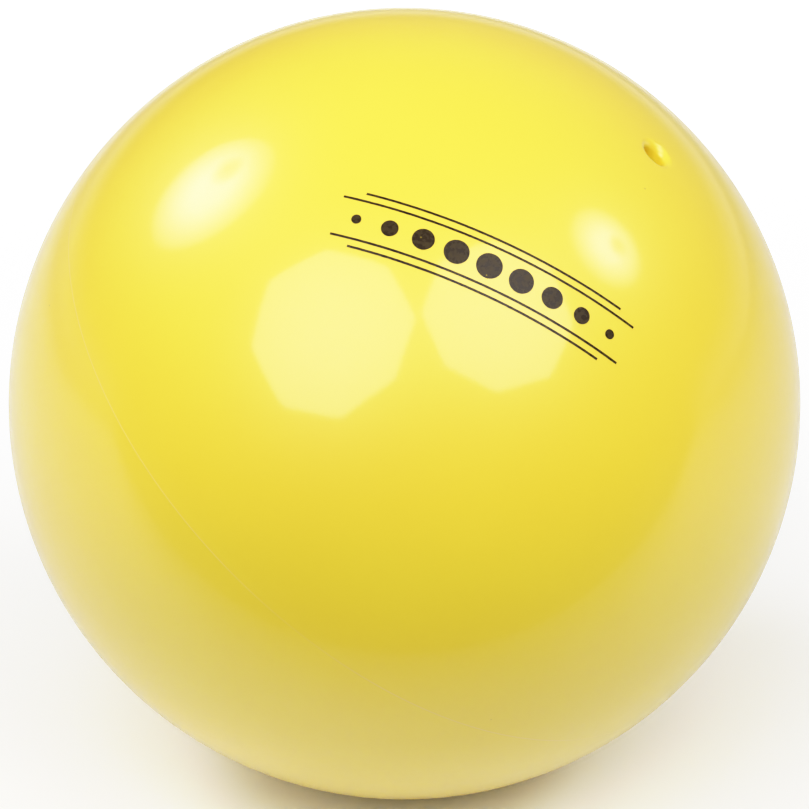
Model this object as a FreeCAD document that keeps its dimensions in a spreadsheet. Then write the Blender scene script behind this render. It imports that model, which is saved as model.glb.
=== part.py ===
import FreeCAD, Part
import math
import os
import Sketcher

# A gymnastics ball: a hollow vinyl-rubber skin moulded in one piece, a pre-moulded valve insert
# bonded inside it, a pull-out stopper, and one band of printed ink.
#
# Every piece is drawn about the valve axis: local +Z runs from the ball's centre out through the
# valve, and the parting line lies in local XY. The whole ball is then tipped so that the valve
# points up and to one side, as the ball lies on the ground. The origin is the ball's centre.

document = FreeCAD.newDocument("gymnastics_ball")


# ------------------------------------------------------- driving dimensions (mm and degrees)

DIMENSIONS = [
    ("ball_radius", 95.0, "outside, inflated"),
    ("skin_thickness", 3.17, "gives a ball of 420 g"),
    ("parting_height", 0.06, "parting line's crest, above the skin"),
    ("parting_half_width", 0.25, "parting line's foot, each side of its crest"),
    ("parting_root", 0.1, "parting line's foot, below the skin"),
    ("parting_level", 0.0, "parting line's crest, up the valve axis from the ball's centre"),
    ("recess_radius", 2.8, "round hole that leads down to the stopper"),
    ("recess_lip", 1.8, "rounding of that hole's edge"),
    ("recess_depth", 6.0, "from the ball's surface to the recess's floor"),
    ("flange_radius", 10.0, "valve insert, where it is bonded to the skin"),
    ("flange_thickness", 1.8, "valve insert"),
    ("neck_radius", 5.2, "valve insert's neck, at its root"),
    ("neck_end_radius", 3.8, "valve insert's neck, at its inner end"),
    ("neck_depth", 22.0, "from the ball's surface to the neck's inner end"),
    ("head_pocket_radius", 2.6, "valve insert, round the stopper's head"),
    ("bore_radius", 2.0, "valve insert's bore, under the stopper's head"),
    ("bore_end_radius", 1.6, "valve insert's bore, at its inner end"),
    ("head_radius", 2.5, "stopper's head"),
    ("head_height", 1.9, "stopper's head"),
    ("head_bevel", 0.4, "stopper's head, where a lifting tool goes in"),
    ("shank_radius", 1.94, "stopper's shank, under its head"),
    ("shank_end_radius", 1.59, "stopper's shank, at its inner end"),
    ("shank_length", 12.0, "stopper's shank"),
    ("shank_rounding", 0.6, "stopper's shank, round its inner end"),
    ("plug_clearance", 0.06, "under the stopper's head"),
    ("ink_thickness", 0.05, "printed layer"),
    ("line_width", 0.55, "printed line"),
    ("line_pitch", 1.85, "from one printed line to the next"),
    ("line_length", 68.5, "printed line nearest the row of dots"),
    ("line_shortening", 9.0, "from one printed line to the next one out"),
    ("row_to_line", 4.6, "from the middle of the row of dots to the nearest line"),
    ("row_offset", 16.0, "row of dots, below the plane that the print curves about"),
    ("dot_radius", 2.9, "largest printed dot, in the middle of the row"),
]

ANGLES = [
    ("dot_spacing", 4.6, "from one printed dot to the next, about the ball's centre"),
    ("print_turn", -108.1, "print, round the valve axis"),
    ("print_tip", 28.4, "print, away from the valve axis"),
    ("print_skew", 124.9, "print, about its own outward axis"),
    ("valve_tilt", 40.0, "valve axis, away from straight up"),
]

LINES_PER_SIDE = 2      # printed lines above the row of dots, and again below it
DOTS_PER_SIDE = 4       # printed dots on each side of the middle one
DOT_SHRINK = 0.62       # share of its radius that the outermost dot has lost

sheet = document.addObject("Spreadsheet::Sheet", "sheet")
for row, (alias, number, note) in enumerate(DIMENSIONS + ANGLES, start=1):
    sheet.set(f"A{row}", alias)
    sheet.set(f"B{row}", str(number))
    sheet.setAlias(f"B{row}", alias)
    sheet.set(f"C{row}", note)
document.recompute()


def size(formula):
    """The value of a formula such as "ball_radius - recess_depth"."""
    total = 0.0
    sign = 1.0
    for word in formula.split():
        if word in "+-":
            sign = float(word + "1")
        else:
            total += sign * float(sheet.get(word))
    return total


def expression(formula):
    """The same formula, as a feature's expression."""
    return " ".join(word if word in "+-" else f"sheet.{word}" for word in formula.split())


# ------------------------------------------------------- sketching and turning

INNER_RADIUS = "ball_radius - skin_thickness"
UNDER_FLANGE = INNER_RADIUS + " - flange_thickness"
RECESS_FLOOR = "ball_radius - recess_depth"
ABOVE_SKIN = "ball_radius + recess_lip"
UNDER_HEAD = RECESS_FLOOR + " - head_height"
POCKET_FLOOR = UNDER_HEAD + " - plug_clearance"
NECK_END = "ball_radius - neck_depth"
Y_AXIS = (0, 1, 0)
Z_AXIS = (0, 0, 1)
SKETCH_ORIGIN = (-1, 1)
SKETCH_VERTICAL = -2
ARC_CENTRE = 3


def new_body(label):
    """An empty body, which becomes one piece."""
    body = document.addObject("PartDesign::Body", label)
    body.Label = label
    return body


def new_sketch(body, name, plane_role):
    """A sketch on one of the body's own origin planes."""
    planes = [plane for plane in body.Origin.OriginFeatures if plane.Role == plane_role]
    sketch = body.newObject("Sketcher::SketchObject", name)
    sketch.AttachmentSupport = [(planes[0], "")]
    sketch.MapMode = "FlatFace"
    return sketch


def add_sized(sketch, kind, where, formula):
    """A sized constraint that follows a formula of the sheet's dimensions."""
    index = sketch.addConstraint(Sketcher.Constraint(kind, *where, size(formula)))
    sketch.setExpression(f"Constraints[{index}]", expression(formula))


def add_edge(sketch, start, end, arc_radius):
    """A straight edge, or an arc about the ball's centre. Returns it with its two end numbers."""
    if arc_radius is None:
        line = Part.LineSegment(FreeCAD.Vector(*start), FreeCAD.Vector(*end))
        return sketch.addGeometry(line), 1, 2
    first = math.atan2(start[1], start[0])
    last = math.atan2(end[1], end[0])
    circle = Part.Circle(FreeCAD.Vector(), FreeCAD.Vector(0, 0, 1), size(arc_radius))
    arc = sketch.addGeometry(Part.ArcOfCircle(circle, min(first, last), max(first, last)))
    sketch.addConstraint(Sketcher.Constraint("Coincident", arc, ARC_CENTRE, *SKETCH_ORIGIN))
    add_sized(sketch, "Radius", (arc,), arc_radius)
    return (arc, 1, 2) if first < last else (arc, 2, 1)


def corner_point(corner, arc_before):
    """A corner's place: its height is worked out where it lies on an arc and none is given."""
    across, up, arc_after = corner
    off_axis = size(across) if across else 0.0
    if up:
        return off_axis, size(up)
    return off_axis, math.sqrt(size(arc_after or arc_before) ** 2 - off_axis ** 2)


def draw_outline(body, name, corners):
    """A closed half-section beside the valve axis.

    Each corner is its distance off the axis (None: on the axis), its height (None: set by the
    arc it lies on), and the radius of the arc that leaves it (None: a straight edge).
    """
    sketch = new_sketch(body, name, "XZ_Plane")
    arcs_before = [corners[index - 1][2] for index in range(len(corners))]
    points = [corner_point(*pair) for pair in zip(corners, arcs_before)]
    edges = []
    for index, point in enumerate(points):
        after = points[(index + 1) % len(points)]
        edges.append(add_edge(sketch, point, after, corners[index][2]))
    for index, (across, up, arc_after) in enumerate(corners):
        edge, start, _ = edges[index]
        edge_before, _, end_before = edges[index - 1]
        sketch.addConstraint(Sketcher.Constraint("Coincident", edge_before, end_before, edge, start))
        if across:
            add_sized(sketch, "DistanceX", (*SKETCH_ORIGIN, edge, start), across)
        else:
            on_axis = Sketcher.Constraint("PointOnObject", edge, start, SKETCH_VERTICAL)
            sketch.addConstraint(on_axis)
        if not arc_after and not arcs_before[index]:
            add_sized(sketch, "DistanceY", (*SKETCH_ORIGIN, edge, start), up)
    return sketch


def turn(body, kind, name, corners):
    """Turn a half-section once round the valve axis, adding or cutting material."""
    sketch = draw_outline(body, name + "_outline", corners)
    feature = body.newObject(kind, name)
    feature.Profile = sketch
    feature.ReferenceAxis = (sketch, ["V_Axis"])
    feature.Angle = 360.0
    document.recompute()
    return feature


def round_edge(body, feature, radius, height, rounding, name):
    """Round the circular edge that has this radius and lies nearest this height."""
    circles = []
    for number, edge in enumerate(feature.Shape.Edges, start=1):
        if abs(edge.Length - 2 * math.pi * size(radius)) < 1e-3:
            circles.append((abs(edge.CenterOfMass.z - size(height)), f"Edge{number}"))
    fillet = body.newObject("PartDesign::Fillet", name)
    fillet.Base = (feature, [min(circles)[1]])
    fillet.setExpression("Radius", expression(rounding))
    document.recompute()
    return fillet


# ------------------------------------------------------- the four pieces

def make_ball_skin():
    """The hollow sphere, its parting line, and the hole with a rounded lip over the valve."""
    body = new_body("ball_skin")
    turn(body, "PartDesign::Revolution", "sphere_wall", [
        (None, "ball_radius", "ball_radius"),
        (None, "- ball_radius", None),
        (None, "- ball_radius + skin_thickness", INNER_RADIUS),
        (None, INNER_RADIUS, None),
    ])
    wall = turn(body, "PartDesign::Revolution", "parting_line", [
        ("ball_radius - parting_root", "parting_half_width", None),
        ("ball_radius - parting_root", "- parting_half_width", None),
        ("ball_radius + parting_height", "parting_level", None),
    ])
    hole = turn(body, "PartDesign::Groove", "valve_hole", [
        (None, RECESS_FLOOR, None),
        ("recess_radius", RECESS_FLOOR, None),
        ("recess_radius", ABOVE_SKIN, None),
        (None, ABOVE_SKIN, None),
    ])
    check_cut(wall, hole)
    round_edge(body, hole, "recess_radius", "ball_radius", "recess_lip", "hole_lip")
    return body


def make_valve_socket():
    """The insert bonded under the hole: flange, recess, pocket for the stopper's head, bore."""
    body = new_body("valve_socket")
    turn(body, "PartDesign::Revolution", "insert", [
        ("recess_radius", None, INNER_RADIUS),
        ("flange_radius", None, None),
        ("flange_radius", None, UNDER_FLANGE),
        ("neck_radius", None, None),
        ("neck_end_radius", NECK_END, None),
        ("bore_end_radius", NECK_END, None),
        ("bore_radius", POCKET_FLOOR, None),
        ("head_pocket_radius", POCKET_FLOOR, None),
        ("head_pocket_radius", RECESS_FLOOR, None),
        ("recess_radius", RECESS_FLOOR, None),
    ])
    return body


def make_valve_plug():
    """The pull-out stopper: a flat head with a bevelled rim, and a tapered shank."""
    body = new_body("valve_plug")
    shank_end = UNDER_HEAD + " - shank_length"
    plug = turn(body, "PartDesign::Revolution", "stopper", [
        (None, RECESS_FLOOR, None),
        ("head_radius - head_bevel", RECESS_FLOOR, None),
        ("head_radius", RECESS_FLOOR + " - head_bevel", None),
        ("head_radius", UNDER_HEAD, None),
        ("shank_radius", UNDER_HEAD, None),
        ("shank_end_radius", shank_end, None),
        (None, shank_end, None),
    ])
    round_edge(body, plug, "shank_end_radius", shank_end, "shank_rounding", "shank_tip")
    return body


def make_ink_layer():
    """A thin ball-shaped layer on the skin, from which the printed marks are taken."""
    outer = document.addObject("Part::Sphere", "ink_outer")
    outer.setExpression("Radius", expression("ball_radius + ink_thickness"))
    inner = document.addObject("Part::Sphere", "ink_inner")
    inner.setExpression("Radius", expression("ball_radius"))
    layer = document.addObject("Part::Cut", "ink_layer")
    layer.Base = outer
    layer.Tool = inner
    return layer


def make_line_cutter(name, distance, step):
    """A thin upright plate that leaves one line. distance is from the row of dots to the line."""
    plate = document.addObject("Part::Box", name)
    length = f"sheet.line_length - {step} * sheet.line_shortening"
    plate.setExpression("Length", length)
    plate.setExpression("Width", "sheet.line_width")
    plate.setExpression("Height", expression(ABOVE_SKIN))
    plate.setExpression("Placement.Base.x", f"-({length}) / 2")
    middle = f"{distance} - sheet.row_offset"
    plate.setExpression("Placement.Base.y", f"{middle} - sheet.line_width / 2")
    return plate


def make_dot_cutter(name, place):
    """A short rod through the skin that leaves one dot. place counts from the middle dot."""
    rod = document.addObject("Part::Cylinder", name)
    shrink = 1.0 - DOT_SHRINK * (place / DOTS_PER_SIDE) ** 2
    rod.setExpression("Radius", f"sheet.dot_radius * {shrink:.4f}")
    rod.setExpression("Height", "2 * sheet.recess_lip")
    down = math.asin(size("row_offset") / size("ball_radius"))
    along = math.radians(place * size("dot_spacing"))
    outward = FreeCAD.Vector(math.cos(down) * math.sin(along), -math.sin(down),
                             math.cos(down) * math.cos(along))
    foot = outward * size("ball_radius - recess_lip")
    rod.Placement = FreeCAD.Placement(foot, FreeCAD.Rotation(FreeCAD.Vector(*Z_AXIS), outward))
    return rod


def make_printed_band():
    """A row of dots that swell towards the middle, with lines above and below it.

    It is drawn with local Z outward, X along the print and Y up it.
    """
    cutters = []
    for step in range(LINES_PER_SIDE):
        reach = f"(sheet.row_to_line + {step} * sheet.line_pitch)"
        cutters.append(make_line_cutter(f"upper_line_{step + 1}", reach, step))
        cutters.append(make_line_cutter(f"lower_line_{step + 1}", "-" + reach, step))
    for place in range(-DOTS_PER_SIDE, DOTS_PER_SIDE + 1):
        cutters.append(make_dot_cutter(f"dot_{place + DOTS_PER_SIDE + 1}", place))
    marks = document.addObject("Part::Compound", "marks")
    marks.Links = cutters
    print_layer = document.addObject("Part::Common", "printed_band")
    print_layer.Base = make_ink_layer()
    print_layer.Tool = marks
    print_layer.Label = "printed_band"
    return print_layer


# ------------------------------------------------------- placing, checking and writing

def rotation(axis, alias):
    return FreeCAD.Rotation(FreeCAD.Vector(*axis), size(alias))


def check_cut(before, after):
    """A cut that points the wrong way removes nothing, and shows no error."""
    if after.Shape.Volume >= before.Shape.Volume:
        raise ValueError(f"{after.Name} removed nothing")


def check_document():
    for item in document.Objects:
        if "Invalid" in item.State or "Error" in item.State:
            raise ValueError(f"{item.Name} failed: {item.State}")


def write_piece(piece):
    if piece.Shape.isNull() or not piece.Shape.isValid():
        raise ValueError(f"{piece.Label} has no valid shape")
    piece.Shape.exportStep(os.path.join("parts", piece.Label + ".step"))
    print(piece.Label, len(piece.Shape.Solids), "solids", round(piece.Shape.Volume, 2), "mm3")


valve_up = FreeCAD.Placement(FreeCAD.Vector(), rotation(Y_AXIS, "valve_tilt"))
round_the_ball = rotation(Z_AXIS, "print_turn")
down_the_ball = rotation(Y_AXIS, "print_tip")
about_itself = rotation(Z_AXIS, "print_skew")
print_place = FreeCAD.Placement(FreeCAD.Vector(), round_the_ball * down_the_ball * about_itself)

turned_pieces = [make_ball_skin(), make_valve_socket(), make_valve_plug()]
printed_band = make_printed_band()
document.recompute()
for piece in turned_pieces:
    piece.Placement = valve_up
printed_band.Placement = valve_up * print_place
document.recompute()

check_document()
os.makedirs("parts", exist_ok=True)
for piece in turned_pieces + [printed_band]:
    write_piece(piece)
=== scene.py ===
import math

import bmesh
import bpy
from mathutils import Euler, Matrix, Vector


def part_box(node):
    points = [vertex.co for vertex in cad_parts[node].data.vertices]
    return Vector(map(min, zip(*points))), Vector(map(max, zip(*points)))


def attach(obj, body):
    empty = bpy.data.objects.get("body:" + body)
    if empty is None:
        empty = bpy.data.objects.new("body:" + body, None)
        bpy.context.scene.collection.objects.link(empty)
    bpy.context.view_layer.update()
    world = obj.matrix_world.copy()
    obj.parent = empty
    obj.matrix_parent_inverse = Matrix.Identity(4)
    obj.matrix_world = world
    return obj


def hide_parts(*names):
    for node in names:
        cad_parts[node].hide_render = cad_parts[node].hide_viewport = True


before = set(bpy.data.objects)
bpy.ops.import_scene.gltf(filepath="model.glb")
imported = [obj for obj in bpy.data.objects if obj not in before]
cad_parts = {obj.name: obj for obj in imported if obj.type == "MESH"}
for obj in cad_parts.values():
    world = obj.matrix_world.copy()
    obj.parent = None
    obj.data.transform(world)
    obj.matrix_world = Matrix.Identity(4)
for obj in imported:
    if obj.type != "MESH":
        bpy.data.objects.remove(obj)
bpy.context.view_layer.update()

# The ball skin: one hollow piece of soft yellow vinyl, about 3 mm thick, cast in a two-part mould.
# Its parting line is a hair-thin ridge half way between the valve and the far pole, and the
# hole over the valve has a smooth rounded lip.

MM = 0.001
BALL_RADIUS = -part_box("ball_skin")[0].z
SKIN_THICKNESS = 3.17 * MM
HOLE_RADIUS = 2.8 * MM
LIP_RADIUS = 1.8 * MM
RIDGE_HEIGHT = 0.02 * MM
RIDGE_HALF_WIDTH = 0.15 * MM
WAVINESS = 0.03 * MM
SWELLS_PER_METRE = 26.0
VALVE_TILT = math.radians(40)
UPSIDE_DOWN = math.pi
QUARTER_TURN = math.pi / 2
JOIN_DISTANCE = 0.001 * MM
SHARP_ANGLE = math.radians(40)

FINE_ZONE = 5.0  # in half widths of the ridge, on each side of its crest
FINE_POINTS = 41
WALL_POINTS = 80
LIP_POINTS = 14
INSIDE_POINTS = 60
SKIN_SIDES = 288

YELLOW = (0.895, 0.66, 0.036, 1)
DEEP_YELLOW = (0.885, 0.64, 0.034, 1)
RIDGE_COLOUR = (0.90, 0.62, 0.22, 1)
SPECK_COLOUR = (0.10, 0.06, 0.02, 1)
CLOUDS_PER_METRE = 22.0
GRAINS_PER_METRE = 420.0
RIDGE_PATCHES_PER_METRE = 30.0


def join_or_set(tree, socket, value):
    """Join a socket to another one, or set it to a plain value."""
    if isinstance(value, bpy.types.NodeSocket):
        tree.links.new(value, socket)
    else:
        socket.default_value = value


def add_node(tree, kind, inputs=(), **settings):
    """A node with its settings. inputs are pairs of a socket's name or number and what it gets."""
    node = tree.nodes.new(kind)
    for name, value in settings.items():
        setattr(node, name, value)
    for key, value in inputs:
        join_or_set(tree, node.inputs[key], value)
    return node


def calculate(tree, operation, *values):
    """One Math node on up to three sockets or numbers."""
    node = add_node(tree, "ShaderNodeMath", enumerate(values), operation=operation)
    return node.outputs[0]


def new_geometry_tree(name, sizes):
    """A Geometry Nodes tree with one named input for each size. Returns it and its inputs."""
    tree = bpy.data.node_groups.new(name, "GeometryNodeTree")
    for size_name, socket_type in sizes:
        tree.interface.new_socket(size_name, in_out="INPUT", socket_type=socket_type)
    tree.interface.new_socket("Geometry", in_out="OUTPUT", socket_type="NodeSocketGeometry")
    return tree, add_node(tree, "NodeGroupInput").outputs


def finish_geometry_tree(tree, geometry):
    """Realize, smooth, give it its material, and put it out."""
    material = add_node(tree, "NodeGroupInput").outputs["Material"]
    real = add_node(tree, "GeometryNodeRealizeInstances", [(0, geometry)])
    smooth = add_node(tree, "GeometryNodeSetShadeSmooth", [(0, real.outputs[0])])
    dressed = add_node(tree, "GeometryNodeSetMaterial", [
        ("Geometry", smooth.outputs[0]), ("Material", material)])
    add_node(tree, "NodeGroupOutput", [(0, dressed.outputs[0])])


def grow_mesh(name, tree, values):
    """Run a tree with these values, and return the result as a plain mesh object."""
    carrier = bpy.data.objects.new(name + "_carrier", bpy.data.meshes.new(name + "_carrier"))
    bpy.context.scene.collection.objects.link(carrier)
    modifier = carrier.modifiers.new("grow", "NODES")
    modifier.node_group = tree
    for item in tree.interface.items_tree:
        if item.in_out == "INPUT" and item.name in values:
            modifier[item.identifier] = values[item.name]
    graph = bpy.context.evaluated_depsgraph_get()
    mesh = bpy.data.meshes.new_from_object(carrier.evaluated_get(graph))
    bpy.data.objects.remove(carrier)
    return add_piece(name, mesh)


def add_piece(name, mesh):
    """Close a mesh's seams, turn its faces outward, and put it in the scene."""
    shape = bmesh.new()
    shape.from_mesh(mesh)
    bmesh.ops.remove_doubles(shape, verts=shape.verts, dist=JOIN_DISTANCE)
    bmesh.ops.recalc_face_normals(shape, faces=shape.faces)
    for edge in shape.edges:
        edge.smooth = edge.calc_face_angle(0) < SHARP_ANGLE
    shape.to_mesh(mesh)
    shape.free()
    mesh.name = name
    piece = bpy.data.objects.new(name, mesh)
    bpy.context.scene.collection.objects.link(piece)
    return piece


def add_arc(tree, radius, start, sweep, points):
    """Part of a circle about the origin."""
    arc = add_node(tree, "GeometryNodeCurveArc", [
        ("Resolution", points), ("Radius", radius), ("Start Angle", start), ("Sweep Angle", sweep)])
    return arc.outputs[0]


def combine(tree, across=0.0, up=0.0, out=0.0):
    """A vector made from three numbers or sockets."""
    node = add_node(tree, "ShaderNodeCombineXYZ", enumerate((across, up, out)))
    return node.outputs[0]


def move(tree, geometry, by):
    """The same shape, moved by a vector."""
    node = add_node(tree, "GeometryNodeTransform", [("Geometry", geometry), ("Translation", by)])
    return node.outputs[0]


def turn_about_axis(tree, section, path_radius, sides):
    """Sweep a half-section round the axis. The result comes out upside down."""
    inward = combine(tree, calculate(tree, "MULTIPLY", path_radius, -1.0))
    circle = add_node(tree, "GeometryNodeCurvePrimitiveCircle", [
        ("Resolution", sides), ("Radius", path_radius)])
    swept = add_node(tree, "GeometryNodeCurveToMesh", [
        ("Curve", circle.outputs[0]), ("Profile Curve", move(tree, section, inward))])
    merged = add_node(tree, "GeometryNodeMergeByDistance", [
        ("Geometry", swept.outputs[0]), ("Distance", JOIN_DISTANCE)])
    return merged.outputs[0]


def height_on_circle(tree, radius, across):
    """How far up a point lies that is on a circle, at a distance across from the axis."""
    gap = calculate(tree, "MULTIPLY_ADD", across, calculate(tree, "MULTIPLY", across, -1.0),
                    calculate(tree, "MULTIPLY", radius, radius))
    return calculate(tree, "SQRT", gap)


def build_skin_tree():
    """The skin's half-section: outer wall, ridge, lip, hole and inner wall, turned round the axis."""
    tree, given = new_geometry_tree("Turned ball skin", [
        ("Ball Radius", "NodeSocketFloat"), ("Skin Thickness", "NodeSocketFloat"),
        ("Hole Radius", "NodeSocketFloat"), ("Lip Radius", "NodeSocketFloat"),
        ("Ridge Height", "NodeSocketFloat"), ("Ridge Half Width", "NodeSocketFloat"),
        ("Waviness", "NodeSocketFloat"), ("Sides", "NodeSocketInt"),
        ("Turn", "NodeSocketVector"), ("Material", "NodeSocketMaterial")])
    radius, hole, lip = given["Ball Radius"], given["Hole Radius"], given["Lip Radius"]
    lip_across = calculate(tree, "ADD", hole, lip)
    lip_reach = calculate(tree, "SUBTRACT", radius, lip)
    lip_up = height_on_circle(tree, lip_reach, lip_across)
    lip_angle = calculate(tree, "ARCTAN2", lip_up, lip_across)
    inner_radius = calculate(tree, "SUBTRACT", radius, given["Skin Thickness"])
    hole_foot = height_on_circle(tree, inner_radius, hole)
    hole_angle = calculate(tree, "ARCTAN2", hole_foot, hole)
    fine_half = calculate(tree, "MULTIPLY", given["Ridge Half Width"], FINE_ZONE)
    fine_end = calculate(tree, "DIVIDE", fine_half, radius)
    fine_start = calculate(tree, "MULTIPLY", fine_end, -1.0)

    below_sweep = calculate(tree, "ADD", fine_start, QUARTER_TURN)
    below = add_arc(tree, radius, -QUARTER_TURN, below_sweep, WALL_POINTS)
    ridge = add_arc(tree, radius, fine_start, calculate(tree, "MULTIPLY", fine_end, 2.0), FINE_POINTS)
    above_sweep = calculate(tree, "SUBTRACT", lip_angle, fine_end)
    above = add_arc(tree, radius, fine_end, above_sweep, WALL_POINTS)
    lip_arc = add_arc(tree, lip, lip_angle, calculate(tree, "SUBTRACT", math.pi, lip_angle), LIP_POINTS)
    rounded = move(tree, lip_arc, combine(tree, lip_across, lip_up))
    wall = add_node(tree, "GeometryNodeCurvePrimitiveLine", [
        ("Start", combine(tree, hole, lip_up)), ("End", combine(tree, hole, hole_foot))])
    inside_sweep = calculate(tree, "ADD", hole_angle, QUARTER_TURN)
    inside = add_arc(tree, inner_radius, -QUARTER_TURN, inside_sweep, INSIDE_POINTS)
    section = add_node(tree, "GeometryNodeJoinGeometry")
    for part in (inside, wall.outputs[0], rounded, above, ridge, below):
        tree.links.new(part, section.inputs[0])
    turned = turn_about_axis(tree, section.outputs[0], hole, given["Sides"])

    place = add_node(tree, "GeometryNodeInputPosition").outputs[0]
    distance = add_node(tree, "ShaderNodeVectorMath", [(0, place)], operation="LENGTH").outputs["Value"]
    outward = add_node(tree, "ShaderNodeVectorMath", [(0, place)], operation="NORMALIZE").outputs[0]
    half_way = calculate(tree, "MULTIPLY_ADD", given["Skin Thickness"], -0.5, radius)
    is_outside = calculate(tree, "GREATER_THAN", distance, half_way)
    height = add_node(tree, "ShaderNodeSeparateXYZ", [(0, place)]).outputs["Z"]
    off_crest = calculate(tree, "DIVIDE", height, given["Ridge Half Width"])
    share = calculate(tree, "MULTIPLY_ADD", calculate(tree, "POWER", off_crest, 2.0), -1.0, 1.0)
    rise = calculate(tree, "MULTIPLY", calculate(tree, "MAXIMUM", share, 0.0), given["Ridge Height"])
    swell = add_node(tree, "ShaderNodeTexNoise", [
        (0, place), ("Scale", SWELLS_PER_METRE), ("Detail", 1.0)]).outputs[0]
    sink = calculate(tree, "MULTIPLY", calculate(tree, "SUBTRACT", swell, 1.0), given["Waviness"])
    lift = calculate(tree, "MULTIPLY", calculate(tree, "ADD", rise, sink), is_outside)
    offset = add_node(tree, "ShaderNodeVectorMath", [(0, outward), ("Scale", lift)], operation="SCALE")
    shaped = add_node(tree, "GeometryNodeSetPosition", [
        ("Geometry", turned), ("Offset", offset.outputs[0])])
    placed = add_node(tree, "GeometryNodeTransform", [
        ("Geometry", shaped.outputs[0]), ("Rotation", given["Turn"])])
    finish_geometry_tree(tree, placed.outputs[0])
    return tree


def new_material(name, **settings):
    """A Principled material with these plain values. Returns it, its tree and its shader."""
    material = bpy.data.materials.new(name)
    material.use_nodes = True
    shader = material.node_tree.nodes["Principled BSDF"]
    for setting, value in settings.items():
        shader.inputs[setting.replace("_", " ")].default_value = value
    return material, material.node_tree, shader


def object_place(tree, turn=(0, 0, 0)):
    """Object coordinates, turned about the ball's centre."""
    coordinates = add_node(tree, "ShaderNodeTexCoord").outputs["Object"]
    mapping = add_node(tree, "ShaderNodeMapping", [("Vector", coordinates), ("Rotation", turn)])
    return mapping.outputs[0]


def mix_colour(tree, share, first, second):
    """The first colour, with a share of the second mixed into it."""
    node = add_node(tree, "ShaderNodeMix", data_type="RGBA")
    join_or_set(tree, node.inputs[0], share)
    join_or_set(tree, node.inputs[6], first)
    join_or_set(tree, node.inputs[7], second)
    return node.outputs[2]


def remap(tree, value, low, high, to_low, to_high):
    """A value between low and high, stretched to lie between to_low and to_high, and held there."""
    node = add_node(tree, "ShaderNodeMapRange", [
        ("Value", value), ("From Min", low), ("From Max", high),
        ("To Min", to_low), ("To Max", to_high)])
    return node.outputs[0]


def new_shader_group(name, inputs, outputs):
    """A shader node group with named inputs (with defaults) and outputs."""
    group = bpy.data.node_groups.new(name, "ShaderNodeTree")
    for socket_name, socket_type, default in inputs:
        socket = group.interface.new_socket(socket_name, in_out="INPUT", socket_type=socket_type)
        if default is not None:
            socket.default_value = default
    for socket_name, socket_type in outputs:
        group.interface.new_socket(socket_name, in_out="OUTPUT", socket_type=socket_type)
    return group, add_node(group, "NodeGroupInput").outputs, add_node(group, "NodeGroupOutput").inputs


def build_cast_vinyl_group():
    """Cast vinyl: cloudy tone, a faintly uneven gloss, and the fine grain of the mould's face."""
    group, given, out = new_shader_group("Cast vinyl", [
        ("Vector", "NodeSocketVector", None), ("Colour", "NodeSocketColor", None),
        ("Deep Colour", "NodeSocketColor", None), ("Roughness", "NodeSocketFloat", 0.2),
        ("Unevenness", "NodeSocketFloat", 0.1)], [
        ("Colour", "NodeSocketColor"), ("Roughness", "NodeSocketFloat"), ("Height", "NodeSocketFloat")])
    clouds = add_node(group, "ShaderNodeTexNoise", [
        (0, given["Vector"]), ("Scale", CLOUDS_PER_METRE), ("Detail", 3.0), ("Roughness", 0.55)]).outputs[0]
    grain = add_node(group, "ShaderNodeTexNoise", [
        (0, given["Vector"]), ("Scale", GRAINS_PER_METRE), ("Detail", 2.0)]).outputs[0]
    depth = remap(group, clouds, 0.35, 0.7, 0.0, 1.0)
    group.links.new(mix_colour(group, depth, given["Colour"], given["Deep Colour"]), out["Colour"])
    uneven = calculate(group, "MULTIPLY_ADD", grain, given["Unevenness"], given["Roughness"])
    group.links.new(uneven, out["Roughness"])
    group.links.new(grain, out["Height"])
    return group


def build_specks_group():
    """Small round dots in scattered places.

    Cells Per Metre sets how close they can come, Size is their radius as a part of a cell, and
    Share is the part of the cells that has one.
    """
    group, given, out = new_shader_group("Specks", [
        ("Vector", "NodeSocketVector", None), ("Cells Per Metre", "NodeSocketFloat", 160.0),
        ("Size", "NodeSocketFloat", 0.05), ("Share", "NodeSocketFloat", 0.1)], [
        ("Mask", "NodeSocketFloat")])
    cells = add_node(group, "ShaderNodeTexVoronoi", [
        (0, given["Vector"]), ("Scale", given["Cells Per Metre"])])
    near = remap(group, cells.outputs["Distance"], given["Size"], 0.0, 0.0, 1.0)
    lot = add_node(group, "ShaderNodeSeparateColor", [(0, cells.outputs["Color"])]).outputs[0]
    chosen = calculate(group, "LESS_THAN", lot, given["Share"])
    group.links.new(calculate(group, "MULTIPLY", near, chosen), out["Mask"])
    return group


def place_group(tree, group, inputs):
    """One of the shared effects, with this material's own values."""
    node = tree.nodes.new("ShaderNodeGroup")
    node.node_tree = group
    for key, value in inputs:
        join_or_set(tree, node.inputs[key], value)
    return node.outputs


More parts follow.
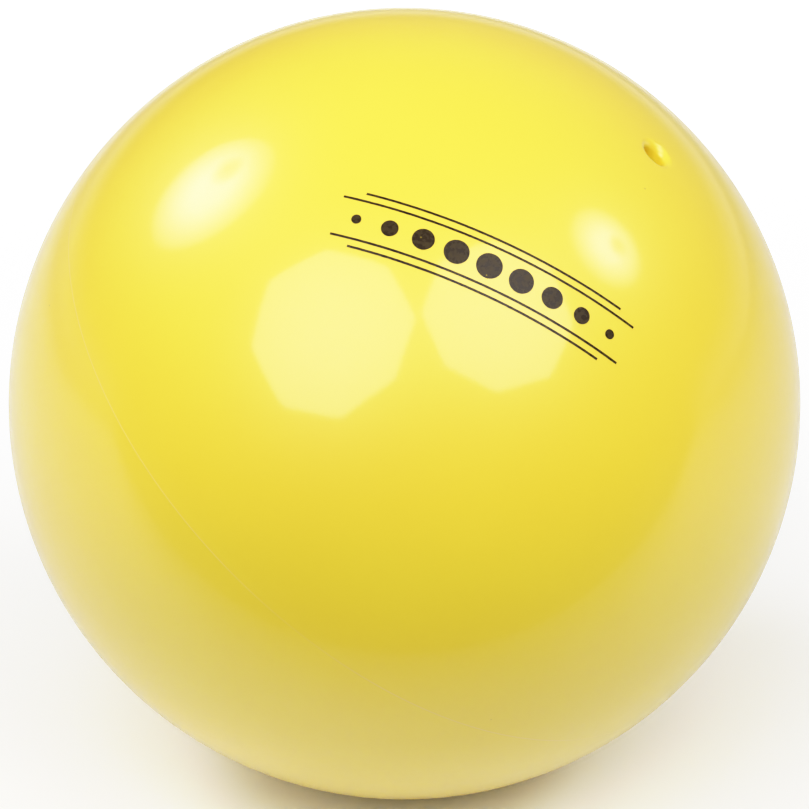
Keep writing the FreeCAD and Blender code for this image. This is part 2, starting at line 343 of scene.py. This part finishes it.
def build_skin_material():
    """Glossy, slightly milky yellow vinyl, with a faint paler parting line and a few dust specks."""
    material, tree, shader = new_material(
        "yellow_vinyl", IOR=1.5, Specular_IOR_Level=0.45, Coat_Weight=0.75, Coat_Roughness=0.082,
        Coat_IOR=1.5)
    place = object_place(tree)
    vinyl = place_group(tree, cast_vinyl, [
        ("Vector", place), ("Colour", YELLOW), ("Deep Colour", DEEP_YELLOW),
        ("Roughness", 0.38), ("Unevenness", 0.08)])
    valve_place = object_place(tree, turn=(0, -VALVE_TILT, 0))
    height = add_node(tree, "ShaderNodeSeparateXYZ", [(0, valve_place)]).outputs["Z"]
    distance = calculate(tree, "ABSOLUTE", height)
    near_crest = remap(tree, distance, RIDGE_HALF_WIDTH, RIDGE_HALF_WIDTH * 0.3, 0.0, 1.0)
    patches = add_node(tree, "ShaderNodeTexNoise", [
        (0, place), ("Scale", RIDGE_PATCHES_PER_METRE), ("Detail", 1.0)]).outputs[0]
    on_ridge = calculate(tree, "MULTIPLY", near_crest, remap(tree, patches, 0.38, 0.62, 0.25, 0.7))
    dust = place_group(tree, specks, [
        ("Vector", place), ("Cells Per Metre", 160.0), ("Size", 0.05), ("Share", 0.10)])
    with_ridge = mix_colour(tree, on_ridge, vinyl["Colour"], RIDGE_COLOUR)
    colour = mix_colour(tree, dust["Mask"], with_ridge, SPECK_COLOUR)
    tree.links.new(colour, shader.inputs["Base Color"])
    duller = calculate(tree, "MULTIPLY_ADD", on_ridge, 0.2, vinyl["Roughness"])
    tree.links.new(duller, shader.inputs["Roughness"])
    bump = add_node(tree, "ShaderNodeBump", [
        ("Height", vinyl["Height"]), ("Strength", 0.04), ("Distance", 0.2 * MM)])
    tree.links.new(bump.outputs[0], shader.inputs["Normal"])
    return material


cast_vinyl = build_cast_vinyl_group()
specks = build_specks_group()
ball_skin = grow_mesh("ball_skin_cast", build_skin_tree(), {
    "Ball Radius": BALL_RADIUS, "Skin Thickness": SKIN_THICKNESS, "Hole Radius": HOLE_RADIUS,
    "Lip Radius": LIP_RADIUS, "Ridge Height": RIDGE_HEIGHT, "Ridge Half Width": RIDGE_HALF_WIDTH,
    "Waviness": WAVINESS, "Sides": SKIN_SIDES, "Turn": (UPSIDE_DOWN, VALVE_TILT, 0),
    "Material": build_skin_material()})
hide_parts("ball_skin")
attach(ball_skin, "ball")


# The valve insert: a small moulding of the same vinyl, bonded inside the skin under the hole.
# Its straight wall carries on the hole down to a flat floor, where a pocket takes the stopper's
# head. Its tapered neck points at the ball's centre.

RECESS_FLOOR = BALL_RADIUS - 6.0 * MM
HEAD_HEIGHT = 1.9 * MM
PLUG_CLEARANCE = 0.06 * MM
POCKET_FLOOR = RECESS_FLOOR - HEAD_HEIGHT - PLUG_CLEARANCE
POCKET_RADIUS = 2.6 * MM
BORE_RADIUS = 2.0 * MM
BORE_END_RADIUS = 1.6 * MM
FLANGE_RADIUS = 10.0 * MM
FLANGE_TOP = BALL_RADIUS - SKIN_THICKNESS - 0.01 * MM  # just clear of the skin, so the faces don't fight
FLANGE_UNDERSIDE = FLANGE_TOP - 1.8 * MM
FLANGE_STEPS = 6
NECK_RADIUS = 5.2 * MM
NECK_END_RADIUS = 3.8 * MM
NECK_END = BALL_RADIUS - 22.0 * MM
TURNED_SIDES = 96
ROUNDING_STEPS = 6
FROM_VALVE_AXES = Euler((0, VALVE_TILT, 0)).to_matrix().to_4x4()
SOCKET_YELLOW = (0.85, 0.70, 0.05, 1)
DEEP_SOCKET_YELLOW = (0.82, 0.65, 0.04, 1)


def round_corner(before, corner, after, rounding):
    """The points of a small arc that rounds one corner of an outline."""
    if rounding == 0:
        return [corner]
    into, away = (before - corner).normalized(), (after - corner).normalized()
    half_turn = into.angle(away) / 2
    centre = corner + (into + away).normalized() * (rounding / math.sin(half_turn))
    spoke = corner + into * (rounding / math.tan(half_turn)) - centre
    sweep = math.copysign(math.pi - 2 * half_turn, -into.cross(away))
    turns = [Matrix.Rotation(sweep * step / ROUNDING_STEPS, 2) for step in range(ROUNDING_STEPS + 1)]
    return [centre + turn @ spoke for turn in turns]


def level_on_ball(radius, across):
    """How far up a ball's surface lies, at a distance across from the valve's axis."""
    return math.sqrt(radius ** 2 - across ** 2)


def turn_outline(name, corners):
    """Turn an outline round the valve axis. Corners are (off the axis, up it, rounding)."""
    ends = [Vector((across, up)) for across, up, _ in corners]
    outline = []
    for index, (across, _, rounding) in enumerate(corners):
        before, after = ends[index - 1], ends[(index + 1) % len(ends)]
        outline += round_corner(before, ends[index], after, rounding if across else 0)
    shape = bmesh.new()
    rings = []
    for side in range(TURNED_SIDES):
        spin = Matrix.Rotation(2 * math.pi * side / TURNED_SIDES, 3, "Z")
        rings.append([shape.verts.new(spin @ Vector((point.x, 0, point.y))) for point in outline])
    for side in range(TURNED_SIDES):
        ring, after = rings[side], rings[(side + 1) % TURNED_SIDES]
        for index in range(len(outline)):
            following = (index + 1) % len(outline)
            if outline[index].x or outline[following].x:
                shape.faces.new((ring[index], after[index], after[following], ring[following]))
    for face in shape.faces:
        face.smooth = True
    mesh = bpy.data.meshes.new(name)
    shape.to_mesh(mesh)
    shape.free()
    mesh.transform(FROM_VALVE_AXES)
    return add_piece(name, mesh)


def build_moulded_material(name, colour, deep_colour, roughness):
    """The insert's and the stopper's vinyl: no glossy coat, and light that scatters inside it."""
    material, tree, shader = new_material(
        name, IOR=1.5, Subsurface_Weight=0.1, Subsurface_Radius=(1.0, 0.7, 0.15),
        Subsurface_Scale=1.5 * MM)
    place = object_place(tree)
    vinyl = place_group(tree, cast_vinyl, [
        ("Vector", place), ("Colour", colour), ("Deep Colour", deep_colour),
        ("Roughness", roughness), ("Unevenness", 0.12)])
    tree.links.new(vinyl["Colour"], shader.inputs["Base Color"])
    tree.links.new(vinyl["Roughness"], shader.inputs["Roughness"])
    bump = add_node(tree, "ShaderNodeBump", [
        ("Height", vinyl["Height"]), ("Strength", 0.12), ("Distance", 0.1 * MM)])
    tree.links.new(bump.outputs[0], shader.inputs["Normal"])
    return material


flange_spread = [HOLE_RADIUS + (FLANGE_RADIUS - HOLE_RADIUS) * step / FLANGE_STEPS
                 for step in range(FLANGE_STEPS + 1)]
insert_corners = [(across, level_on_ball(FLANGE_TOP, across), 0) for across in flange_spread]
insert_corners += [
    (FLANGE_RADIUS, level_on_ball(FLANGE_UNDERSIDE, FLANGE_RADIUS), 0.5 * MM),
    (NECK_RADIUS, level_on_ball(FLANGE_UNDERSIDE, NECK_RADIUS), 0.8 * MM),
    (NECK_END_RADIUS, NECK_END, 0.5 * MM),
    (BORE_END_RADIUS, NECK_END, 0.3 * MM),
    (BORE_RADIUS, POCKET_FLOOR, 0),
    (POCKET_RADIUS, POCKET_FLOOR, 0.15 * MM),
    (POCKET_RADIUS, RECESS_FLOOR, 0),
    (HOLE_RADIUS, RECESS_FLOOR, 0)]
valve_insert = turn_outline("valve_insert_moulded", insert_corners)
valve_insert.data.materials.append(build_moulded_material(
    "socket_vinyl", SOCKET_YELLOW, DEEP_SOCKET_YELLOW, roughness=0.16))
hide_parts("valve_socket")
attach(valve_insert, "ball")


# The stopper: a soft moulded plug pushed into the insert. A lifting tool goes in under the
# bevelled rim of its head and pulls it straight out, so that the ball can be pumped up.

HEAD_RADIUS = 2.5 * MM
HEAD_BEVEL = 0.45 * MM
DIMPLE_FLOOR = RECESS_FLOOR - 0.35 * MM
DIMPLE_RADIUS = 0.7 * MM
HEAD_FOOT = RECESS_FLOOR - HEAD_HEIGHT
SHANK_RADIUS = 1.94 * MM
SHANK_END_RADIUS = 1.59 * MM
SHANK_END = HEAD_FOOT - 12.0 * MM
PLUG_YELLOW = (0.88, 0.74, 0.07, 1)
DEEP_PLUG_YELLOW = (0.86, 0.70, 0.05, 1)

stopper_corners = [
    (0, DIMPLE_FLOOR, 0),
    (DIMPLE_RADIUS - 0.25 * MM, DIMPLE_FLOOR, 0.1 * MM),
    (DIMPLE_RADIUS, RECESS_FLOOR - 0.02 * MM, 0.1 * MM),
    (HEAD_RADIUS - HEAD_BEVEL, RECESS_FLOOR - 0.08 * MM, 0.2 * MM),
    (HEAD_RADIUS, RECESS_FLOOR - 0.5 * MM, 0.2 * MM),
    (HEAD_RADIUS, HEAD_FOOT, 0.15 * MM),
    (SHANK_RADIUS, HEAD_FOOT, 0.1 * MM),
    (SHANK_END_RADIUS, SHANK_END, 0.6 * MM),
    (0, SHANK_END, 0)]
stopper = turn_outline("stopper_moulded", stopper_corners)
stopper.data.materials.append(build_moulded_material(
    "plug_vinyl", PLUG_YELLOW, DEEP_PLUG_YELLOW, roughness=0.22))
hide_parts("valve_plug")
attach(stopper, "stopper")


# The printed band: dark brown ink, pad-printed on the finished ball in one go. It is a row of dots
# that swell towards the middle, with two fine lines above it and two below.

INK_THICKNESS = 0.05 * MM
INK_SUNK = 0.02 * MM
LINE_LENGTH = 69.0 * MM
LINE_WIDTH = 0.55 * MM
LINE_PITCH = 1.85 * MM
LINE_SHORTENING = 9.0 * MM
ROW_TO_LINE = 4.6 * MM
LINE_POINTS = 141
DOT_RADIUS = 2.9 * MM
DOT_SPACING = 7.52 * MM
DOT_SHRINK = 0.62
DOT_POINTS = 48
EDGE_WOBBLE = 0.06 * MM
INK_GRAINS_PER_METRE = 900.0
INK = (0.024, 0.013, 0.005, 1)
THIN_INK = (0.045, 0.027, 0.007, 1)

ROW_DROP = math.asin(16.0 * MM / BALL_RADIUS)
PRINT_SPIN = Matrix.Rotation(math.radians(124.9), 3, "Z")
AWAY_FROM_VALVE = Matrix.Rotation(math.radians(28.4), 3, "Y")
ROUND_VALVE_AXIS = Matrix.Rotation(math.radians(-108.1), 3, "Z")
ONTO_VALVE_AXIS = Matrix.Rotation(VALVE_TILT, 3, "Y")
PRINT_TURN = ONTO_VALVE_AXIS @ ROUND_VALVE_AXIS @ AWAY_FROM_VALVE @ PRINT_SPIN


def build_print_tree():
    """The marks are laid out flat, given their thickness, and wrapped round the ball."""
    tree, given = new_geometry_tree("Printed band", [
        ("Ball Radius", "NodeSocketFloat"), ("Row Drop", "NodeSocketFloat"),
        ("Ink Thickness", "NodeSocketFloat"), ("Ink Sunk", "NodeSocketFloat"),
        ("Line Count", "NodeSocketInt"), ("Line Length", "NodeSocketFloat"),
        ("Line Width", "NodeSocketFloat"), ("Line Pitch", "NodeSocketFloat"),
        ("Line Shortening", "NodeSocketFloat"), ("Row To Line", "NodeSocketFloat"),
        ("Dot Count", "NodeSocketInt"), ("Dot Radius", "NodeSocketFloat"),
        ("Dot Spacing", "NodeSocketFloat"), ("Dot Shrink", "NodeSocketFloat"),
        ("Edge Wobble", "NodeSocketFloat"), ("Turn", "NodeSocketVector"),
        ("Material", "NodeSocketMaterial")])
    number = add_node(tree, "GeometryNodeInputIndex").outputs[0]

    line = add_node(tree, "GeometryNodeMeshGrid", [
        ("Size X", given["Line Length"]), ("Size Y", given["Line Width"]),
        ("Vertices X", LINE_POINTS), ("Vertices Y", 3)])
    feet = add_node(tree, "GeometryNodeMeshLine", [
        ("Count", given["Line Count"]), ("Start Location", combine(tree, 0.0, given["Row To Line"])),
        ("Offset", combine(tree, 0.0, given["Line Pitch"]))])
    cut = calculate(tree, "MULTIPLY", number, calculate(
        tree, "DIVIDE", given["Line Shortening"], given["Line Length"]))
    lines = add_node(tree, "GeometryNodeInstanceOnPoints", [
        ("Points", feet.outputs[0]), ("Instance", line.outputs[0]),
        ("Scale", combine(tree, calculate(tree, "SUBTRACT", 1.0, cut), 1.0, 1.0))])
    lower = add_node(tree, "GeometryNodeTransform", [
        ("Geometry", lines.outputs[0]), ("Rotation", (0, 0, math.pi))])

    middle = calculate(tree, "MULTIPLY", calculate(tree, "SUBTRACT", given["Dot Count"], 1.0), 0.5)
    reach = calculate(tree, "MULTIPLY", calculate(tree, "MULTIPLY", middle, given["Dot Spacing"]), -1.0)
    centres = add_node(tree, "GeometryNodeMeshLine", [
        ("Count", given["Dot Count"]), ("Start Location", combine(tree, reach)),
        ("Offset", combine(tree, given["Dot Spacing"]))])
    off_middle = calculate(tree, "DIVIDE", calculate(tree, "SUBTRACT", number, middle), middle)
    shrunk = calculate(tree, "MULTIPLY", calculate(tree, "POWER", off_middle, 2.0), given["Dot Shrink"])
    share = calculate(tree, "SUBTRACT", 1.0, shrunk)
    dot = add_node(tree, "GeometryNodeMeshCircle", [
        ("Vertices", DOT_POINTS), ("Radius", given["Dot Radius"])], fill_type="TRIANGLE_FAN")
    dots = add_node(tree, "GeometryNodeInstanceOnPoints", [
        ("Points", centres.outputs[0]), ("Instance", dot.outputs[0]),
        ("Scale", combine(tree, share, share, 1.0))])

    marks = add_node(tree, "GeometryNodeJoinGeometry")
    for part in (lines.outputs[0], lower.outputs[0], dots.outputs[0]):
        tree.links.new(part, marks.inputs[0])
    flat = add_node(tree, "GeometryNodeRealizeInstances", [(0, marks.outputs[0])]).outputs[0]
    place = add_node(tree, "GeometryNodeInputPosition").outputs[0]
    ragged = add_node(tree, "ShaderNodeTexNoise", [
        (0, place), ("Scale", INK_GRAINS_PER_METRE)]).outputs["Color"]
    centred = add_node(tree, "ShaderNodeVectorMath", [(0, ragged), (1, (0.5, 0.5, 0.5))],
                       operation="SUBTRACT").outputs[0]
    in_plane = add_node(tree, "ShaderNodeVectorMath", [(0, centred), (1, (1, 1, 0))],
                        operation="MULTIPLY").outputs[0]
    wobble = add_node(tree, "ShaderNodeVectorMath", [(0, in_plane), ("Scale", given["Edge Wobble"])],
                      operation="SCALE").outputs[0]
    base = add_node(tree, "GeometryNodeSetPosition", [("Geometry", flat), ("Offset", wobble)]).outputs[0]
    raised = add_node(tree, "GeometryNodeExtrudeMesh", [
        ("Mesh", base), ("Offset", combine(tree, 0.0, 0.0, 1.0)),
        ("Offset Scale", given["Ink Thickness"]), ("Individual", False)])
    underside = add_node(tree, "GeometryNodeFlipFaces", [(0, base)]).outputs[0]
    solid = add_node(tree, "GeometryNodeJoinGeometry")
    for part in (raised.outputs[0], underside):
        tree.links.new(part, solid.inputs[0])

    parts = add_node(tree, "ShaderNodeSeparateXYZ", [(0, place)]).outputs
    level = calculate(tree, "COSINE", given["Row Drop"])
    along = calculate(tree, "DIVIDE", parts[0], calculate(tree, "MULTIPLY", given["Ball Radius"], level))
    latitude = calculate(tree, "SUBTRACT", calculate(tree, "DIVIDE", parts[1], given["Ball Radius"]),
                         given["Row Drop"])
    distance = calculate(tree, "ADD", given["Ball Radius"], calculate(
        tree, "SUBTRACT", parts[2], given["Ink Sunk"]))
    flat_share = calculate(tree, "COSINE", latitude)
    across = calculate(tree, "MULTIPLY", flat_share, calculate(tree, "SINE", along))
    out = calculate(tree, "MULTIPLY", flat_share, calculate(tree, "COSINE", along))
    wrapped = add_node(tree, "ShaderNodeVectorMath", [
        (0, combine(tree, across, calculate(tree, "SINE", latitude), out)), ("Scale", distance)],
        operation="SCALE").outputs[0]
    on_ball = add_node(tree, "GeometryNodeSetPosition", [
        ("Geometry", solid.outputs[0]), ("Position", wrapped)]).outputs[0]
    placed = add_node(tree, "GeometryNodeTransform", [
        ("Geometry", on_ball), ("Rotation", given["Turn"])]).outputs[0]
    finish_geometry_tree(tree, placed)
    return tree


def build_ink_material():
    """Dark brown pad ink: satin, a little uneven, with a few pinholes where the vinyl shows."""
    material, tree, shader = new_material("print_ink", IOR=1.45, Specular_IOR_Level=0.22)
    place = object_place(tree)
    streaks = add_node(tree, "ShaderNodeTexNoise", [
        (0, place), ("Scale", INK_GRAINS_PER_METRE), ("Detail", 3.0)]).outputs[0]
    tone = mix_colour(tree, remap(tree, streaks, 0.4, 0.65, 0.0, 1.0), INK, THIN_INK)
    pinholes = place_group(tree, specks, [
        ("Vector", place), ("Cells Per Metre", INK_GRAINS_PER_METRE), ("Size", 0.2), ("Share", 0.06)])
    bare = calculate(tree, "MULTIPLY", pinholes["Mask"], 0.5)
    tree.links.new(mix_colour(tree, bare, tone, YELLOW), shader.inputs["Base Color"])
    tree.links.new(remap(tree, streaks, 0.3, 0.7, 0.22, 0.34), shader.inputs["Roughness"])
    return material


printed_band = grow_mesh("printed_band_ink", build_print_tree(), {
    "Ball Radius": BALL_RADIUS, "Row Drop": ROW_DROP, "Ink Thickness": INK_THICKNESS,
    "Ink Sunk": INK_SUNK, "Line Count": 2, "Line Length": LINE_LENGTH, "Line Width": LINE_WIDTH,
    "Line Pitch": LINE_PITCH, "Line Shortening": LINE_SHORTENING, "Row To Line": ROW_TO_LINE,
    "Dot Count": 9, "Dot Radius": DOT_RADIUS, "Dot Spacing": DOT_SPACING, "Dot Shrink": DOT_SHRINK,
    "Edge Wobble": EDGE_WOBBLE, "Turn": tuple(PRINT_TURN.to_euler()),
    "Material": build_ink_material()})
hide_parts("printed_band")
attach(printed_band, "ball")


# The studio: two octagonal softboxes in front, an umbrella on each side and a small fill behind
# light the ball. It lies near the front edge of a pale table, an edge that is only painted: for the
# ball the paper darkens in painted shade towards it and is painted dark past it, and overhead the
# room is dark, though the camera itself sees plain white all round.

CAMERA_AZIMUTH = math.radians(22.2)
CAMERA_ELEVATION = math.radians(25.16)
CAMERA_DISTANCE = 7.2 * BALL_RADIUS
BALL_SHARE_OF_FRAME = 0.9795
AIM_DROP = 0.26 * MM
SENSOR = 36.0
GROUND = -BALL_RADIUS
TABLE_HALF_WIDTH = 6.0
# The table's front edge is only painted: for the ball the paper darkens in painted shade towards it and is
# painted dark past it.
PAINTED_EDGE = 1.7 * BALL_RADIUS
PAINTED_EDGE_BLUR = 2 * MM
PAINTED_SHADE_START = 0.65 * PAINTED_EDGE
PAINTED_SHADE_DARKNESS = 0.7
PAPER_WHITE = 2.1
# Painted light: a glow that the ball sees on the far table.
FAR_TABLE_GLOW = 0.16
BACKDROP_GLOW = 0.8
WALL_GLOW = 0.2
LIGHT_DISTANCE = 1.3
# Painted shade: the dark that the ball sees on the table ahead of it.
PAINTED_SHADE_PAPER = (0.03, 0.03, 0.03, 1)
PAPER_FOR_BALL = (0.80, 0.80, 0.80, 1)
PAPER_FOR_CAMERA = (0.90, 0.90, 0.90, 1)
FILM_POINTS = ((0.3, 0.3), (0.6, 0.6), (0.8, 0.745), (1.0, 0.865), (1.25, 0.935), (1.5, 0.978))
FILM_WHITE = 2.0


def direction(azimuth, elevation):
    """A unit vector. Azimuth 0 is towards -Y, and 90 degrees is towards +X."""
    level = math.cos(elevation)
    return Vector((math.sin(azimuth) * level, -math.cos(azimuth) * level, math.sin(elevation)))


def build_camera():
    """A long lens, looking down at the ball, which fills the frame."""
    camera = bpy.data.objects.new("camera", bpy.data.cameras.new("camera"))
    bpy.context.scene.collection.objects.link(camera)
    back = direction(CAMERA_AZIMUTH, CAMERA_ELEVATION)
    turn = (-back).to_track_quat("-Z", "Y")
    camera.rotation_mode = "QUATERNION"
    camera.rotation_quaternion = turn
    camera.location = back * CAMERA_DISTANCE + turn @ Vector((0, -AIM_DROP, 0))
    half_ball = math.tan(math.asin(BALL_RADIUS / CAMERA_DISTANCE))
    camera.data.sensor_width = SENSOR
    camera.data.lens = SENSOR / 2 * BALL_SHARE_OF_FRAME / half_ball
    camera.data.clip_start = 0.01
    bpy.context.scene.camera = camera


def add_stage_mesh(name, points, material):
    """One flat face of studio equipment, which isn't part of the ball."""
    mesh = bpy.data.meshes.new(name)
    mesh.from_pydata(points, [], [tuple(range(len(points)))])
    mesh.materials.append(material)
    thing = bpy.data.objects.new(name, mesh)
    bpy.context.scene.collection.objects.link(thing)
    return thing


def build_glow_material(name, brightness, centre, reach, rim):
    """A glow that changes from the centre of a panel to rim times as much at its reach."""
    material = bpy.data.materials.new(name)
    material.use_nodes = True
    tree = material.node_tree
    tree.nodes.clear()
    place = add_node(tree, "ShaderNodeTexCoord").outputs["Object"]
    away = add_node(tree, "ShaderNodeVectorMath", [(0, place), (1, centre)],
                    operation="DISTANCE").outputs["Value"]
    strength = remap(tree, away, 0.3 * reach, reach, brightness, brightness * rim)
    glow = add_node(tree, "ShaderNodeEmission", [("Strength", strength)])
    add_node(tree, "ShaderNodeOutputMaterial", [("Surface", glow.outputs[0])])
    return material


def add_panel(name, azimuth, elevation, radius, corners, brightness, stretch=1.0, rise=1.0, drop=1.0,
              rim=1.0, nearer=0.0):
    """A flat glowing panel that faces the ball and that the camera doesn't see. Angles are in degrees.

    stretch widens it, rise and drop stretch its upper and lower halves, and nearer brings it in.
    """
    facing = direction(math.radians(azimuth), math.radians(elevation))
    turn = facing.to_track_quat("Z", "Y")
    centre = facing * (LIGHT_DISTANCE - nearer)
    points = []
    for corner in range(corners):
        angle = 2 * math.pi * (corner + 0.5) / corners
        across, up = math.cos(angle) * radius * stretch, math.sin(angle) * radius
        up *= rise if up > 0 else drop
        points.append(centre + turn @ Vector((across, up, 0)))
    glow = build_glow_material(name, brightness, centre, radius, rim)
    panel = add_stage_mesh(name, points, glow)
    panel.visible_camera = False
    panel.visible_shadow = False
    return panel


def mix_amount(tree, share, first, second):
    """The first number, with a share of the second mixed into it."""
    node = add_node(tree, "ShaderNodeMix", data_type="FLOAT")
    for number, value in ((0, share), (2, first), (3, second)):
        join_or_set(tree, node.inputs[number], value)
    return node.outputs[0]


def build_table():
    """Pale paper. For the ball it darkens in painted shade towards a painted front edge, and past
    that edge it is painted dark, so only the camera sees it pale there. Farther out it glows a
    little for the ball, painted light, and for the camera it glows white.
    """
    material, tree, shader = new_material("pale_table", Roughness=0.9, Specular_IOR_Level=0.0)
    place = add_node(tree, "ShaderNodeTexCoord").outputs["Object"]
    from_camera = add_node(tree, "ShaderNodeLightPath").outputs["Is Camera Ray"]
    ahead = add_node(tree, "ShaderNodeVectorMath", [(0, place), (1, direction(CAMERA_AZIMUTH, 0))],
                     operation="DOT_PRODUCT").outputs["Value"]
    # Painted shade: for all but camera rays, dark past the painted front edge and darkening towards it.
    past_edge = remap(tree, ahead, PAINTED_EDGE - PAINTED_EDGE_BLUR, PAINTED_EDGE + PAINTED_EDGE_BLUR, 0.0, 1.0)
    painted_falloff_shade = remap(tree, ahead, PAINTED_SHADE_START, PAINTED_EDGE, 0.0, PAINTED_SHADE_DARKNESS)
    unlit = calculate(tree, "MAXIMUM", past_edge, painted_falloff_shade)
    painted_shade_share = calculate(tree, "MULTIPLY", unlit, calculate(tree, "SUBTRACT", 1.0, from_camera))
    lit = mix_colour(tree, from_camera, PAPER_FOR_BALL, PAPER_FOR_CAMERA)
    tree.links.new(mix_colour(tree, painted_shade_share, lit, PAINTED_SHADE_PAPER), shader.inputs["Base Color"])
    away = add_node(tree, "ShaderNodeVectorMath", [(0, place)], operation="LENGTH").outputs["Value"]
    # Painted light: for the ball the far table glows a little, outside the painted shade.
    for_ball = calculate(tree, "MULTIPLY", calculate(tree, "SUBTRACT", 1.0, painted_shade_share),
                         remap(tree, away, 0.2, 1.4, 0.0, FAR_TABLE_GLOW))
    for_camera = remap(tree, away, 0.1, 0.8, 0.0, PAPER_WHITE)
    shader.inputs["Emission Color"].default_value = (1, 1, 1, 1)
    tree.links.new(mix_amount(tree, from_camera, for_ball, for_camera), shader.inputs["Emission Strength"])
    signs = ((-1, -1), (1, -1), (1, 1), (-1, 1))
    corners = [(TABLE_HALF_WIDTH * across, TABLE_HALF_WIDTH * along, GROUND) for across, along in signs]
    add_stage_mesh("table", corners, material)


def build_world():
    """White for the camera. The ball sees a pale backdrop low behind it, a dim wall, and dark elsewhere."""
    world = bpy.data.worlds.new("studio")
    bpy.context.scene.world = world
    world.use_nodes = True
    tree = world.node_tree
    tree.nodes.clear()
    outward = add_node(tree, "ShaderNodeTexCoord").outputs["Generated"]
    height = add_node(tree, "ShaderNodeSeparateXYZ", [(0, outward)]).outputs["Z"]
    ahead = add_node(tree, "ShaderNodeVectorMath", [(0, outward), (1, direction(CAMERA_AZIMUTH, 0))],
                     operation="DOT_PRODUCT").outputs["Value"]
    behind = remap(tree, ahead, 0.1, -0.1, 0.0, 1.0)
    low = remap(tree, height, 0.16, 0.02, 0.0, 1.0)
    ceiling = remap(tree, height, 0.1, 0.9, 0.08, 0.5)
    backdrop = calculate(tree, "MULTIPLY", calculate(tree, "MULTIPLY", behind, low), BACKDROP_GLOW)
    towards_wall = direction(math.radians(175), math.radians(10))
    on_wall = add_node(tree, "ShaderNodeVectorMath", [(0, outward), (1, towards_wall)],
                       operation="DOT_PRODUCT").outputs["Value"]
    wall = remap(tree, on_wall, 0.7, 0.97, 0.0, WALL_GLOW)
    room = calculate(tree, "ADD", calculate(tree, "MAXIMUM", ceiling, backdrop), wall)
    from_camera = add_node(tree, "ShaderNodeLightPath").outputs["Is Camera Ray"]
    strength = mix_amount(tree, from_camera, room, PAPER_WHITE)
    background = add_node(tree, "ShaderNodeBackground", [("Strength", strength)])
    add_node(tree, "ShaderNodeOutputWorld", [("Surface", background.outputs[0])])


def set_film_response():
    """Straight in the shadows, and rolling off gently into white."""
    view = bpy.context.scene.view_settings
    view.view_transform = "Standard"
    view.use_curve_mapping = True
    mapping = view.curve_mapping
    mapping.white_level = (FILM_WHITE, FILM_WHITE, FILM_WHITE)
    film = mapping.curves[3]
    for light, shown in FILM_POINTS:
        film.points.new(light / FILM_WHITE, shown)
    for point in film.points:
        point.handle_type = "AUTO_CLAMPED"
    mapping.update()


build_camera()
build_table()
build_world()
add_panel("softbox_left", azimuth=-4.2, elevation=43.9, radius=0.52, corners=8, brightness=5.4,
          rise=0.92, drop=1.18, rim=0.95)
add_panel("softbox_right", azimuth=57.8, elevation=44.5, radius=0.48, corners=8, brightness=5.2, rim=0.95)
add_panel("umbrella_left", azimuth=-87.2, elevation=44.6, radius=0.36, corners=24, brightness=10.8,
          stretch=0.9, rim=0.1)
add_panel("umbrella_right", azimuth=111.2, elevation=40.8, radius=0.23, corners=24, brightness=11.0,
          rim=0.1)
flash_head_left = add_panel("flash_head_left", azimuth=-93.6, elevation=48.4, radius=0.09, corners=24,
                            brightness=3.4, rim=2.4, nearer=0.1)
flash_head_left.visible_diffuse = False
flash_head_right = add_panel("flash_head_right", azimuth=114.6, elevation=38.2, radius=0.06, corners=24,
                             brightness=3.2, rim=2.2, nearer=0.1)
flash_head_right.visible_diffuse = False
fill_behind = add_panel("fill_behind", azimuth=-157.8, elevation=10.0, radius=0.25, corners=24,
                        brightness=5.0)
fill_behind.visible_glossy = False
set_film_response()
